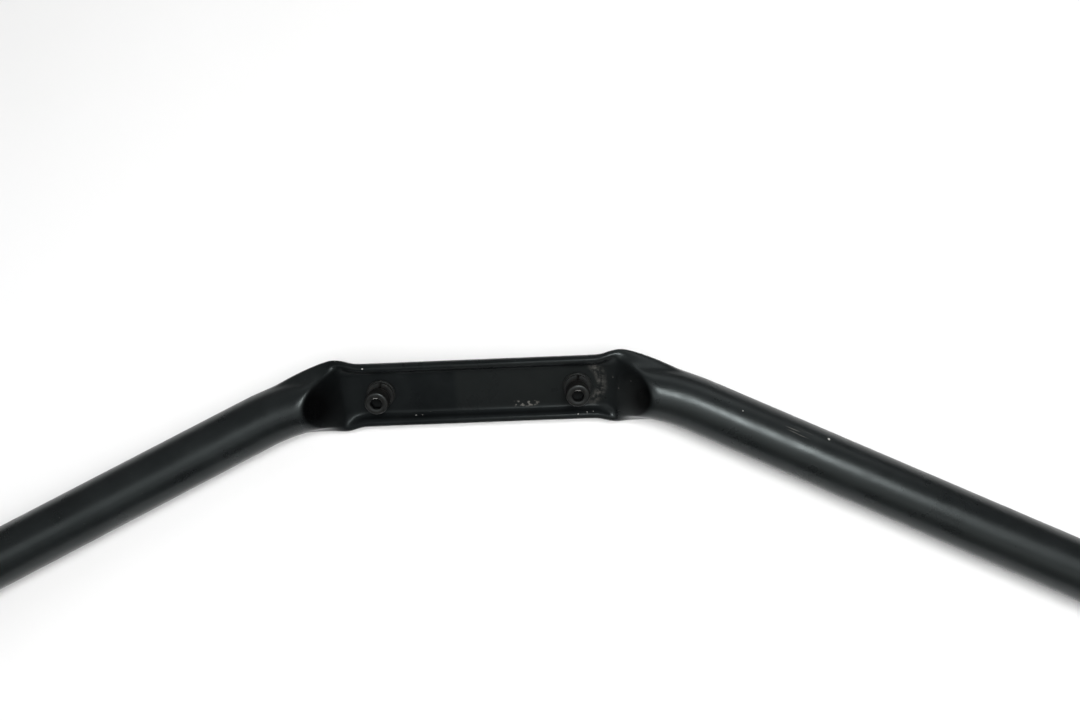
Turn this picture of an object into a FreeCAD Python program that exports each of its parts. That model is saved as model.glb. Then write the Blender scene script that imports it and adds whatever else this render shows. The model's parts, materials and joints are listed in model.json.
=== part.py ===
import FreeCAD, Part
import math
import os

Vector = FreeCAD.Vector

# Strut tower brace: one bent steel tube. Its middle is pressed into a shallow channel that two
# socket screws hold to the bulkhead, and its ends are pressed flat and welded to stamped plates
# that sit on the two suspension towers. Millimetres and degrees throughout.

# Tube
TUBE_RADIUS = 15.0
WALL = 2.5
INNER_RADIUS = TUBE_RADIUS - WALL
BEND_ANGLE = math.radians(26.6)
BEND_RADIUS = 110.0
CORNER_X = 98.5
CORNER_TO_TOWER = 495.0
AXIS_HEIGHT = 26.0

# Pressed middle: distances along the tube from its middle
CHANNEL_LEAN = math.radians(54.5)
CHANNEL_FLOOR_HALF = 10.5
CHANNEL_SETBACK = 9.0
OVAL_SETBACK = 5.0
CHANNEL_FULL_AT = 65.0
CURL_STARTS_AT = 82.0
FLAT_AT = 75.0
ROUND_AT = 112.0
CREST_LEAD = 10.0
FLANK_LAG = 25.0
FLANK_SHARE = 0.35
RAMP_BLEND = 0.18
BACK_PAD_DEPTH = 0.15
BACK_PAD_HALF = 44.0

# Flattened ends
END_TO_TOWER = 47.0
END_FLAT_LENGTH = 45.0
END_RAMP_LENGTH = 62.0
END_CORNER_RADIUS = 12.0
DRAIN_RADIUS = 3.0
DRAIN_FROM_END = 150.0

# Tower plates
PLATE_THICKNESS = 4.0
STUD_CIRCLE_RADIUS = 55.0
STUD_COUNT = 3
STUD_HOLE_RADIUS = 4.5
STUD_MARGIN = 20.0
TONGUE_HALF_WIDTH = 34.0
TONGUE_LENGTH = 97.0
RIM_THICKNESS = 3.5
RIM_HEIGHT = 10.0
OPENING_RADIUS = 36.0
COLLAR_THICKNESS = 3.5
COLLAR_HEIGHT = 9.0
PAD_RADIUS = 12.0
PAD_HEIGHT = 0.8
INNER_CORNER_RADIUS = 14.0

# Weld beads
BEAD_RADIUS = 3.4
BEAD_RISE = 0.6
BEAD_INSET = 1.0

# Bulkhead screws and their washers, M8
SCREW_SPACING = 110.0
SCREW_HOLE_RADIUS = 4.5
SHANK_RADIUS = 4.0
SHANK_LENGTH = 30.0
SHANK_CHAMFER = 0.9
NECK_RADIUS = 3.4
HEAD_RADIUS = 6.5
HEAD_HEIGHT = 8.0
HEAD_CHAMFER = 0.6
SOCKET_FLATS = 6.0
SOCKET_DEPTH = 4.2
SCREW_LIFT = 3.4
FLAT_WASHER_RADIUS = 8.0
FLAT_WASHER_BORE = 4.2
FLAT_WASHER_THICKNESS = 1.6
SPRING_WASHER_RADIUS = 7.4
SPRING_WASHER_BORE = 4.15
SPRING_WASHER_THICKNESS = 2.0
SPRING_WASHER_GAP = 1.6
SPRING_WASHER_SLANT = 30.0
RETAINER_RADIUS = 7.0
RETAINER_BORE = 3.46
RETAINER_THICKNESS = 2.5
LOOSE_GAP = 0.12
RETAINER_GAP = 0.3

# Values that follow from those above
OVAL_HALF_STRAIGHT = 2 * math.pi * INNER_RADIUS / 4
CURL_RADIUS = (OVAL_HALF_STRAIGHT - CHANNEL_FLOOR_HALF) / (math.pi / 2)
BEND_TANGENT = BEND_RADIUS * math.tan(BEND_ANGLE / 2)
BEND_STARTS_AT = CORNER_X - BEND_TANGENT
BEND_ENDS_AT = BEND_STARTS_AT + BEND_RADIUS * BEND_ANGLE
TOWER_AT = BEND_ENDS_AT + CORNER_TO_TOWER - BEND_TANGENT
END_AT = TOWER_AT - END_TO_TOWER
END_FLAT_AT = END_AT - END_FLAT_LENGTH
END_RAMP_AT = END_FLAT_AT - END_RAMP_LENGTH
END_DROP = AXIS_HEIGHT - PLATE_THICKNESS - WALL
ARM_MIDDLE = (ROUND_AT + END_RAMP_AT) / 2
OVAL_HALF_WIDTH = OVAL_HALF_STRAIGHT + WALL

UP = Vector(0, 0, 1)
RIGHT = Vector(1, 0, 0)
OUT_OF_CHANNEL = Vector(0, -math.cos(CHANNEL_LEAN), math.sin(CHANNEL_LEAN))
ARM_DIRECTION = Vector(math.cos(BEND_ANGLE), -math.sin(BEND_ANGLE), 0)
TOWER = Vector(CORNER_X, 0, 0) + ARM_DIRECTION * CORNER_TO_TOWER
PLATE_UNDERSIDE = -AXIS_HEIGHT
FLOOR_LEVEL = WALL - CHANNEL_SETBACK
BACK_LEVEL = -WALL - CHANNEL_SETBACK

# Resolution of the tube's surface, and the thin slit where its walls are pressed together
POINTS_ROUND = 64
DEGREE = 3
SEAM_SKIN = 0.05
PRESSED_STEP = 3.0
HOLLOW_STEP = 4.0
END_STEP = 6.0
FLAT_STEP = 12.0
ARM_STEP = 22.0
CORNER_STEPS = 8
HOLLOW_STARTS = 0.2


def smooth_step(value, low, high):
    """0 below low, 1 above high, and a smooth S between them."""
    t = min(max((value - low) / (high - low), 0.0), 1.0)
    return t * t * (3 - 2 * t)


def blended_ramp(t):
    """A straight rise from 0 to 1, with short parabolic blends at both ends."""
    t = min(max(t, 0.0), 1.0)
    slope = 1 / (1 - RAMP_BLEND)
    if t < RAMP_BLEND:
        return slope * t * t / (2 * RAMP_BLEND)
    if t > 1 - RAMP_BLEND:
        return 1 - slope * (1 - t) ** 2 / (2 * RAMP_BLEND)
    return slope * (t - RAMP_BLEND / 2)


def oval_point(share, skin):
    """A flat oval's point at a share of its outline, counted from the tip on its +u side.

    skin is the distance from the mid-plane, so 0 is the seam where the two walls meet."""
    cap = math.pi * skin
    straight = 2 * OVAL_HALF_STRAIGHT
    run = (share % 1.0) * 2 * (straight + cap)
    if run < cap / 2:
        turn = run / skin
        return OVAL_HALF_STRAIGHT + skin * math.cos(turn), skin * math.sin(turn)
    run -= cap / 2
    if run < straight:
        return OVAL_HALF_STRAIGHT - run, skin
    run -= straight
    if run < cap:
        turn = math.pi / 2 + run / skin
        return -OVAL_HALF_STRAIGHT + skin * math.cos(turn), skin * math.sin(turn)
    run -= cap
    if run < straight:
        return -OVAL_HALF_STRAIGHT + run, -skin
    turn = -math.pi / 2 + (run - straight) / max(skin, 1e-9)
    return OVAL_HALF_STRAIGHT + skin * math.cos(turn), skin * math.sin(turn)


def pressed_point(share, skin, press):
    """A point on the tube's outline as it is pressed from round (0) to a flat oval (1)."""
    turn = 2 * math.pi * share
    radius = INNER_RADIUS + skin
    flat_u, flat_o = oval_point(share, skin)
    u = (1 - press) * radius * math.cos(turn) + press * flat_u
    o = (1 - press) * radius * math.sin(turn) + press * flat_o
    return u, o


def curled_point(u, o, curl):
    """Turns the oval's outer thirds up into the channel's two flanges."""
    reach = abs(u)
    if curl < 1e-6 or reach <= CHANNEL_FLOOR_HALF:
        return u, o
    bend = curl / CURL_RADIUS
    curved = min(reach, OVAL_HALF_STRAIGHT) - CHANNEL_FLOOR_HALF
    beyond = max(reach - OVAL_HALF_STRAIGHT, 0.0)
    turn = curved * bend
    across = CHANNEL_FLOOR_HALF + math.sin(turn) / bend + beyond * math.cos(turn)
    rise = (1 - math.cos(turn)) / bend + beyond * math.sin(turn)
    side = math.copysign(1.0, u)
    return side * (across - o * math.sin(turn)), rise + o * math.cos(turn)


def middle_profile(distance, share, skin):
    """(across, out) of the pressed middle's outline at a distance from the tube's middle."""
    front = max(math.sin(2 * math.pi * share), 0.0)
    flank = smooth_step(front, 0.0, FLANK_SHARE)
    round_at = ROUND_AT - FLANK_LAG * flank + CREST_LEAD * front * front
    press = 1 - blended_ramp((distance - FLAT_AT) / (round_at - FLAT_AT))
    curl = 1 - smooth_step(distance, CHANNEL_FULL_AT, CURL_STARTS_AT)
    u, o = pressed_point(share, skin, press)
    across, out = curled_point(u, o, curl)
    return across, out - OVAL_SETBACK * press - (CHANNEL_SETBACK - OVAL_SETBACK) * curl


def end_profile(distance, share, skin):
    """(sideways, up) of the flattened end's outline at a distance from the tube's middle."""
    press = blended_ramp((distance - END_RAMP_AT) / END_RAMP_LENGTH)
    sideways, up = pressed_point(share, skin, press)
    past_corner = max(distance - (END_AT - END_CORNER_RADIUS), 0.0)
    drawn_in = END_CORNER_RADIUS - math.sqrt(max(END_CORNER_RADIUS ** 2 - past_corner ** 2, 0.0))
    sideways *= 1 - drawn_in / OVAL_HALF_WIDTH
    return sideways, up - END_DROP * smooth_step(distance, END_RAMP_AT, END_FLAT_AT)


def path_point(distance):
    """The tube axis on the right half, and the level direction square to it."""
    if distance < BEND_STARTS_AT:
        return Vector(distance, 0, 0), Vector(0, -1, 0)
    turn = min((distance - BEND_STARTS_AT) / BEND_RADIUS, BEND_ANGLE)
    x = BEND_STARTS_AT + BEND_RADIUS * math.sin(turn)
    y = -BEND_RADIUS * (1 - math.cos(turn))
    straight = max(distance - BEND_ENDS_AT, 0.0)
    return Vector(x, y, 0) + ARM_DIRECTION * straight, Vector(-math.sin(turn), -math.cos(turn), 0)


def tube_point(station, share, skin):
    """A point on the tube wall; station is negative on the left half."""
    distance = abs(station)
    centre, level = path_point(distance)
    if distance < ARM_MIDDLE:
        out = level * math.cos(CHANNEL_LEAN) + UP * math.sin(CHANNEL_LEAN)
        across = UP * math.cos(CHANNEL_LEAN) - level * math.sin(CHANNEL_LEAN)
        a, b = middle_profile(distance, share, skin)
        point = centre + across * a + out * b
    else:
        same_line = 0.25 + CHANNEL_LEAN / (2 * math.pi) - share
        a, b = end_profile(distance, same_line, skin)
        point = centre + level * a + UP * b
    return Vector(math.copysign(1, station) * point.x, point.y, point.z)


def spaced(start, end, step):
    """Even distances from start up to, but not at, end, no further apart than step."""
    count = max(1, math.ceil((end - start) / step))
    return [start + (end - start) * i / count for i in range(count)]


def tube_solid(stations, skin):
    """A closed solid through the outlines at the stations, one smooth surface and two flat caps."""
    shares = [i / POINTS_ROUND for i in range(POINTS_ROUND)]
    poles = [[tube_point(station, share, skin) for station in stations] for share in shares]
    spans = len(stations) - DEGREE
    round_knots = list(range(POINTS_ROUND + 1))
    round_counts = [1] * (POINTS_ROUND + 1)
    long_knots = list(range(spans + 1))
    long_counts = [DEGREE + 1] + [1] * (spans - 1) + [DEGREE + 1]
    surface = Part.BSplineSurface()
    surface.buildFromPolesMultsKnots(
        poles, round_counts, long_counts, round_knots, long_knots, True, False, DEGREE, DEGREE
    )
    wall = surface.toShape()
    caps = [Part.Face(Part.Wire(edge)) for edge in wall.Edges if edge.isClosed()]
    shell = Part.Shell([wall] + caps)
    shell.sewShape()
    return Part.Solid(shell)


def outer_stations():
    """Where the tube's outside has an outline, from the left end to the right end."""
    half = spaced(CHANNEL_FULL_AT, ROUND_AT, PRESSED_STEP)
    half += spaced(ROUND_AT, END_RAMP_AT, ARM_STEP)
    half += spaced(END_RAMP_AT, END_FLAT_AT, END_STEP)
    half += spaced(END_FLAT_AT, END_AT - END_CORNER_RADIUS, FLAT_STEP)
    turns = [math.pi / 2 * i / CORNER_STEPS for i in range(CORNER_STEPS + 1)]
    half += [END_AT - END_CORNER_RADIUS * (1 - math.sin(turn)) for turn in turns]
    middle = spaced(-CHANNEL_FULL_AT, CHANNEL_FULL_AT, FLAT_STEP)
    return [-s for s in reversed(half)] + middle[1:] + half


def hollow_stations(side):
    """Where one arm's inside has an outline, between its two pressed lengths."""
    first = FLAT_AT + (ROUND_AT - FLAT_AT) * HOLLOW_STARTS
    last = END_FLAT_AT - END_RAMP_LENGTH * HOLLOW_STARTS
    half = spaced(first, ROUND_AT, HOLLOW_STEP)
    half += spaced(ROUND_AT, END_RAMP_AT, ARM_STEP)
    half += spaced(END_RAMP_AT, last, END_STEP)
    half.append(last)
    return [side * s for s in half]


def screw_point(side, level):
    """A point on a bulkhead screw's axis, at a level measured out of the channel."""
    return RIGHT * (side * SCREW_SPACING / 2) + OUT_OF_CHANNEL * level


def mirrored(vector, side):
    return Vector(side * vector.x, vector.y, vector.z)


def back_pad():
    """What is cut off behind the channel to leave a flat pad between the two retainers."""
    width = 2 * OVAL_HALF_WIDTH
    block = Part.makeBox(2 * BACK_PAD_HALF, width, WALL)
    block.translate(Vector(-BACK_PAD_HALF, -width / 2, -WALL))
    return along_screw(block, 0, BACK_LEVEL + BACK_PAD_DEPTH)


def brace_tube():
    """The bent tube with its pressed middle and ends, its screw holes and its drain holes."""
    tube = tube_solid(outer_stations(), WALL).cut(back_pad())
    for side in (-1, 1):
        tube = tube.cut(tube_solid(hollow_stations(side), SEAM_SKIN))
        low = screw_point(side, BACK_LEVEL - WALL)
        tube = tube.cut(Part.makeCylinder(SCREW_HOLE_RADIUS, 4 * WALL, low, OUT_OF_CHANNEL))
        drain = mirrored(path_point(END_AT - DRAIN_FROM_END)[0], side)
        tube = tube.cut(Part.makeCylinder(DRAIN_RADIUS, TUBE_RADIUS + WALL, drain, UP * -1))
    return tube


def plate_outline():
    """The tower plate's rounded outline, flat, with its tongue towards +X and its opening at 0."""
    stud_turn = 2 * math.pi / STUD_COUNT
    near_x = STUD_CIRCLE_RADIUS * math.cos(stud_turn / 2)
    near_y = STUD_CIRCLE_RADIUS * math.sin(stud_turn / 2)
    tongue_x = TONGUE_LENGTH - STUD_MARGIN
    tongue_y = TONGUE_HALF_WIDTH - STUD_MARGIN
    far = Vector(-STUD_CIRCLE_RADIUS, 0, 0)
    corners = [far, Vector(near_x, -near_y, 0), Vector(tongue_x, -tongue_y, 0)]
    corners += [Vector(tongue_x, tongue_y, 0), Vector(near_x, near_y, 0), far]
    return Part.makePolygon(corners)


def plate_area(margin):
    """The plate's outline as a face, margin outside the polygon through its stud centres."""
    return Part.Face(plate_outline()).makeOffset2D(margin)


def stud_centres():
    """The stud holes' centres, on the plate's own axes."""
    turns = [math.pi + 2 * math.pi * i / STUD_COUNT for i in range(STUD_COUNT)]
    return [Vector(math.cos(t), math.sin(t), 0) * STUD_CIRCLE_RADIUS for t in turns]


def flat_tower_plate():
    """A tower plate on its own axes: underside at 0, tongue towards +X."""
    area = plate_area(STUD_MARGIN)
    plate = area.extrude(UP * PLATE_THICKNESS)
    rim = area.cut(plate_area(STUD_MARGIN - RIM_THICKNESS)).extrude(UP * RIM_HEIGHT)
    mouth_width = 2 * (TONGUE_HALF_WIDTH - RIM_THICKNESS)
    mouth_start = Vector(TONGUE_LENGTH - INNER_CORNER_RADIUS, -mouth_width / 2, PLATE_THICKNESS)
    mouth = Part.makeBox(2 * INNER_CORNER_RADIUS, mouth_width, RIM_HEIGHT, mouth_start)
    collar = Part.makeCylinder(OPENING_RADIUS + COLLAR_THICKNESS, COLLAR_HEIGHT)
    plate = plate.fuse(rim.cut(mouth)).fuse(collar)
    for centre in stud_centres():
        plate = plate.fuse(Part.makeCylinder(PAD_RADIUS, PLATE_THICKNESS + PAD_HEIGHT, centre))
    plate = plate.removeSplitter()
    plate = plate.cut(Part.makeCylinder(OPENING_RADIUS, COLLAR_HEIGHT))
    for centre in stud_centres():
        plate = plate.cut(Part.makeCylinder(STUD_HOLE_RADIUS, 2 * PLATE_THICKNESS, centre))
    return plate


def on_tower(shape, side):
    """Moves a shape from the plate's own axes to the left (-1) or right (+1) tower."""
    shape = shape.copy()
    shape.rotate(Vector(0, 0, 0), UP, 180 - math.degrees(BEND_ANGLE))
    shape.translate(TOWER + UP * PLATE_UNDERSIDE)
    if side < 0:
        shape = shape.mirror(Vector(0, 0, 0), RIGHT)
    return shape


def tower_plate(side):
    return on_tower(flat_tower_plate(), side)


def bead(start, end):
    """A weld bead along a line, on the plate's own axes: a rod with round ends."""
    run = end - start
    rod = Part.makeCylinder(BEAD_RADIUS, run.Length, start, run)
    return rod.fuse(Part.makeSphere(BEAD_RADIUS, start)).fuse(Part.makeSphere(BEAD_RADIUS, end))


def side_weld(side, hand, plate, tube):
    """The bead along one flank of the flattened end; hand is +1 for the front one."""
    level = PLATE_THICKNESS + BEAD_RISE
    flank = hand * OVAL_HALF_WIDTH
    start = Vector(END_TO_TOWER + END_CORNER_RADIUS + BEAD_INSET, flank, level)
    end = Vector(END_TO_TOWER + END_FLAT_LENGTH - BEAD_RADIUS, flank, level)
    return on_tower(bead(start, end), side).cut(plate).cut(tube)


def toe_weld(side, plate):
    """The bead across the flattened end's square edge."""
    level = PLATE_THICKNESS + BEAD_RISE
    reach = OVAL_HALF_WIDTH - END_CORNER_RADIUS - BEAD_INSET
    start = Vector(END_TO_TOWER, -reach, level)
    end = Vector(END_TO_TOWER, reach, level)
    tube_corner = Vector(END_TO_TOWER, -OVAL_HALF_WIDTH, PLATE_THICKNESS)
    tube_end = Part.makeBox(END_CORNER_RADIUS, 2 * OVAL_HALF_WIDTH, 2 * WALL, tube_corner)
    return on_tower(bead(start, end).cut(tube_end), side).cut(plate)


def along_screw(shape, side, level):
    """Moves a shape built on +Z to a screw's axis, its base at a level out of the channel."""
    shape = shape.copy()
    shape.rotate(Vector(0, 0, 0), RIGHT, 90 - math.degrees(CHANNEL_LEAN))
    shape.translate(screw_point(side, level))
    return shape


def ring(outer, bore, thickness):
    return Part.makeCylinder(outer, thickness).cut(Part.makeCylinder(bore, thickness))


def flat_washer(side):
    washer = ring(FLAT_WASHER_RADIUS, FLAT_WASHER_BORE, FLAT_WASHER_THICKNESS)
    return along_screw(washer, side, FLOOR_LEVEL + LOOSE_GAP)


def spring_washer(side):
    """A split spring washer, closed nearly flat, with its cut on the slant."""
    washer = ring(SPRING_WASHER_RADIUS, SPRING_WASHER_BORE, SPRING_WASHER_THICKNESS)
    slot = Part.makeBox(SPRING_WASHER_GAP, 2 * SPRING_WASHER_RADIUS, 4 * SPRING_WASHER_THICKNESS)
    slot.translate(Vector(-SPRING_WASHER_GAP / 2, 0, -2 * SPRING_WASHER_THICKNESS))
    middle = Vector(0, 0, SPRING_WASHER_THICKNESS / 2)
    slot.rotate(middle, Vector(0, 1, 0), SPRING_WASHER_SLANT)
    return along_screw(washer.cut(slot), side, FLOOR_LEVEL + FLAT_WASHER_THICKNESS + 2 * LOOSE_GAP)


def head_seat_level():
    """The head's underside, with the screw standing up by its loose lift."""
    washers = FLAT_WASHER_THICKNESS + SPRING_WASHER_THICKNESS + 3 * LOOSE_GAP
    return FLOOR_LEVEL + washers + SCREW_LIFT


def thread_length():
    """How much of the shank is thread: from its tip to just below the retainer."""
    retainer_bottom = BACK_LEVEL - RETAINER_GAP - RETAINER_THICKNESS
    return retainer_bottom - RETAINER_GAP - (head_seat_level() - SHANK_LENGTH)


def bulkhead_screw(side):
    """A captive M8 socket head cap screw; a plain rod stands for its thread, below a thin neck."""
    head = Part.makeCylinder(HEAD_RADIUS, HEAD_HEIGHT, Vector(0, 0, SHANK_LENGTH))
    head = head.makeChamfer(HEAD_CHAMFER, [e for e in head.Edges if e.Length > 6 * HEAD_RADIUS])
    shank = Part.makeCylinder(SHANK_RADIUS, thread_length())
    tip = min(shank.Edges, key=lambda e: e.BoundBox.ZMax)
    shank = shank.makeChamfer(SHANK_CHAMFER, [tip])
    shank = shank.fuse(Part.makeCylinder(NECK_RADIUS, SHANK_LENGTH))
    corner = SOCKET_FLATS / 2 / math.cos(math.pi / 6)
    turns = [math.pi / 3 * i for i in range(7)]
    base = SHANK_LENGTH + HEAD_HEIGHT - SOCKET_DEPTH
    hexagon = [Vector(corner * math.cos(t), corner * math.sin(t), base) for t in turns]
    socket = Part.Face(Part.makePolygon(hexagon)).extrude(UP * SOCKET_DEPTH)
    screw = shank.fuse(head).removeSplitter().cut(socket)
    return along_screw(screw, side, head_seat_level() - SHANK_LENGTH)


def screw_retainer(side):
    """The nylon ring behind the channel that keeps the loose screw captive."""
    retainer = ring(RETAINER_RADIUS, RETAINER_BORE, RETAINER_THICKNESS)
    return along_screw(retainer, side, BACK_LEVEL - RETAINER_GAP - RETAINER_THICKNESS)


def build():
    """Every sub-part by name, with the origin below the middle of the whole brace's box."""
    tube = brace_tube()
    parts = {"brace_tube": tube}
    for name, side in (("left", -1), ("right", 1)):
        plate = tower_plate(side)
        parts[name + "_tower_plate"] = plate
        parts[name + "_front_weld"] = side_weld(side, 1, plate, tube)
        parts[name + "_rear_weld"] = side_weld(side, -1, plate, tube)
        parts[name + "_toe_weld"] = toe_weld(side, plate)
        parts[name + "_bulkhead_screw"] = bulkhead_screw(side)
        parts[name + "_spring_washer"] = spring_washer(side)
        parts[name + "_flat_washer"] = flat_washer(side)
        parts[name + "_screw_retainer"] = screw_retainer(side)
    whole = Part.makeCompound(list(parts.values())).optimalBoundingBox()
    base = Vector(0, whole.Center.y, whole.ZMin)
    for shape in parts.values():
        shape.translate(base * -1)
    return parts, base


PARTS, BASE = build()
os.makedirs("parts", exist_ok=True)
for node, solid in PARTS.items():
    solid.exportStep("parts/" + node + ".step")
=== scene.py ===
import bmesh
import bpy
import json
import math
import numpy as np
from mathutils import Matrix, Vector


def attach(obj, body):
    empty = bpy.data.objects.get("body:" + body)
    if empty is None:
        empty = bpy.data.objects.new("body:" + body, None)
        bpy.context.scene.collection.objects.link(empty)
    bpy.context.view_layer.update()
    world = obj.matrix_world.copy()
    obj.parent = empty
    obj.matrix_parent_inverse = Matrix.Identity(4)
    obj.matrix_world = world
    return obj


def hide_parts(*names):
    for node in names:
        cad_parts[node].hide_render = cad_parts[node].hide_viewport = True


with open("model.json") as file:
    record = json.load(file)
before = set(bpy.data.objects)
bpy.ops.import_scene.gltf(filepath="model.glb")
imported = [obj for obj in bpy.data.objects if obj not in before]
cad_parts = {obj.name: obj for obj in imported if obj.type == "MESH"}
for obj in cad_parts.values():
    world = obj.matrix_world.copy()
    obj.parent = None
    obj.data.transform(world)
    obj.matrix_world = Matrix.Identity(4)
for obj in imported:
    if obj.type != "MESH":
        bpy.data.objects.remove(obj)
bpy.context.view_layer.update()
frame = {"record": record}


MM = 0.001

# ---- the brace's shape, in millimetres, as in the CAD model ----
TUBE_RADIUS = 15.0
WALL = 2.5
INNER_RADIUS = TUBE_RADIUS - WALL
BEND_ANGLE = math.radians(26.6)
BEND_RADIUS = 110.0
CORNER_X = 98.5
CORNER_TO_TOWER = 495.0
AXIS_HEIGHT = 26.0
CHANNEL_LEAN = math.radians(54.5)
CHANNEL_FLOOR_HALF = 10.5
CHANNEL_SETBACK = 9.0
OVAL_SETBACK = 5.0
CHANNEL_FULL_AT = 65.0
CURL_STARTS_AT = 82.0
FLAT_AT = 75.0
ROUND_AT = 112.0
CREST_LEAD = 10.0
FLANK_LAG = 25.0
FLANK_SHARE = 0.35
RAMP_BLEND = 0.18
BACK_PAD_DEPTH = 0.15
END_TO_TOWER = 47.0
END_FLAT_LENGTH = 45.0
END_RAMP_LENGTH = 62.0
END_CORNER_RADIUS = 12.0
DRAIN_RADIUS = 3.0
DRAIN_FROM_END = 150.0
PLATE_THICKNESS = 4.0
STUD_CIRCLE_RADIUS = 55.0
STUD_COUNT = 3
STUD_HOLE_RADIUS = 4.5
STUD_MARGIN = 20.0
TONGUE_HALF_WIDTH = 34.0
TONGUE_LENGTH = 97.0
RIM_THICKNESS = 3.5
RIM_HEIGHT = 10.0
OPENING_RADIUS = 36.0
COLLAR_THICKNESS = 3.5
COLLAR_HEIGHT = 9.0
PAD_RADIUS = 12.0
PAD_HEIGHT = 0.8
INNER_CORNER_RADIUS = 14.0
BEAD_RADIUS = 3.4
BEAD_RISE = 0.6
BEAD_INSET = 1.0
SCREW_SPACING = 110.0
SCREW_HOLE_RADIUS = 4.5
SHANK_RADIUS = 4.0
SHANK_LENGTH = 30.0
THREAD_PITCH = 1.25
THREAD_DEPTH = 0.68
THREAD_LENGTH = 14.54
NECK_RADIUS = 3.4
HEAD_RADIUS = 6.5
HEAD_HEIGHT = 8.0
SOCKET_FLATS = 6.0
SOCKET_DEPTH = 4.2
SCREW_LIFT = 3.4
FLAT_WASHER_RADIUS = 8.0
FLAT_WASHER_BORE = 4.2
FLAT_WASHER_THICKNESS = 1.6
SPRING_WASHER_RADIUS = 7.4
SPRING_WASHER_BORE = 4.15
SPRING_WASHER_THICKNESS = 2.0
SPRING_WASHER_GAP = 1.6
SPRING_WASHER_SLANT = 30.0
RETAINER_RADIUS = 7.0
RETAINER_BORE = 3.46
RETAINER_THICKNESS = 2.5
LOOSE_GAP = 0.12
RETAINER_GAP = 0.3

OVAL_HALF_STRAIGHT = 2 * math.pi * INNER_RADIUS / 4
CURL_RADIUS = (OVAL_HALF_STRAIGHT - CHANNEL_FLOOR_HALF) / (math.pi / 2)
BEND_TANGENT = BEND_RADIUS * math.tan(BEND_ANGLE / 2)
BEND_STARTS_AT = CORNER_X - BEND_TANGENT
BEND_ENDS_AT = BEND_STARTS_AT + BEND_RADIUS * BEND_ANGLE
TOWER_AT = BEND_ENDS_AT + CORNER_TO_TOWER - BEND_TANGENT
END_AT = TOWER_AT - END_TO_TOWER
END_FLAT_AT = END_AT - END_FLAT_LENGTH
END_RAMP_AT = END_FLAT_AT - END_RAMP_LENGTH
END_DROP = AXIS_HEIGHT - PLATE_THICKNESS - WALL
ARM_MIDDLE = (ROUND_AT + END_RAMP_AT) / 2
OVAL_HALF_WIDTH = OVAL_HALF_STRAIGHT + WALL
FLOOR_LEVEL = WALL - CHANNEL_SETBACK
BACK_LEVEL = -WALL - CHANNEL_SETBACK

UP = Vector((0, 0, 1))
OUT = Vector((0, -math.cos(CHANNEL_LEAN), math.sin(CHANNEL_LEAN)))
UP_SLOPE = Vector((0, math.sin(CHANNEL_LEAN), math.cos(CHANNEL_LEAN)))
ARM = Vector((math.cos(BEND_ANGLE), -math.sin(BEND_ANGLE), 0))


def record_mount(name):
    """A mount's place, in metres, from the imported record."""
    for mount in frame["record"]["mounts"]:
        if mount["name"] == name:
            return Vector(mount["pos_m"])
    raise ValueError(name)


# Where the middle of the tube's axis lies in the row's frame
AXIS_ORIGIN = record_mount("bulkhead_face") - OUT * ((BACK_LEVEL + BACK_PAD_DEPTH) * MM)
SIDES = (("left", -1), ("right", 1))
FLAT_WASHER_SEAT = FLOOR_LEVEL + LOOSE_GAP
SPRING_WASHER_SEAT = FLAT_WASHER_SEAT + FLAT_WASHER_THICKNESS + LOOSE_GAP
HEAD_SEAT = SPRING_WASHER_SEAT + SPRING_WASHER_THICKNESS + LOOSE_GAP + SCREW_LIFT
RETAINER_SEAT = BACK_LEVEL - RETAINER_GAP - RETAINER_THICKNESS


# ---- the pressed tube's surface ----
def smooth_step(value, low, high):
    t = min(max((value - low) / (high - low), 0.0), 1.0)
    return t * t * (3 - 2 * t)


def blended_ramp(t):
    """A straight rise from 0 to 1, with short parabolic blends at both ends."""
    t = np.clip(t, 0.0, 1.0)
    slope = 1 / (1 - RAMP_BLEND)
    start = slope * t * t / (2 * RAMP_BLEND)
    finish = 1 - slope * (1 - t) ** 2 / (2 * RAMP_BLEND)
    middle = slope * (t - RAMP_BLEND / 2)
    return np.where(t < RAMP_BLEND, start, np.where(t > 1 - RAMP_BLEND, finish, middle))


def oval_points(shares, skin):
    """Points of a flat oval at shares of its outline, counted from its +u tip."""
    cap = math.pi * skin
    straight = 2 * OVAL_HALF_STRAIGHT
    u = np.zeros(len(shares))
    o = np.zeros(len(shares))
    for i, share in enumerate(shares):
        run = (share % 1.0) * 2 * (straight + cap)
        if run < cap / 2:
            turn = run / skin
            u[i], o[i] = OVAL_HALF_STRAIGHT + skin * math.cos(turn), skin * math.sin(turn)
        elif run < cap / 2 + straight:
            u[i], o[i] = OVAL_HALF_STRAIGHT - (run - cap / 2), skin
        elif run < 1.5 * cap + straight:
            turn = math.pi / 2 + (run - cap / 2 - straight) / skin
            u[i], o[i] = -OVAL_HALF_STRAIGHT + skin * math.cos(turn), skin * math.sin(turn)
        elif run < 1.5 * cap + 2 * straight:
            u[i], o[i] = -OVAL_HALF_STRAIGHT + (run - 1.5 * cap - straight), -skin
        else:
            turn = -math.pi / 2 + (run - 1.5 * cap - 2 * straight) / skin
            u[i], o[i] = OVAL_HALF_STRAIGHT + skin * math.cos(turn), skin * math.sin(turn)
    return u, o


def pressed(shares, skin, press):
    """Outlines between round (press 0) and the flat oval (press 1)."""
    radius = INNER_RADIUS + skin
    flat_u, flat_o = oval_points(shares, skin)
    u = (1 - press) * radius * np.cos(2 * np.pi * shares) + press * flat_u
    o = (1 - press) * radius * np.sin(2 * np.pi * shares) + press * flat_o
    return u, o


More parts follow.
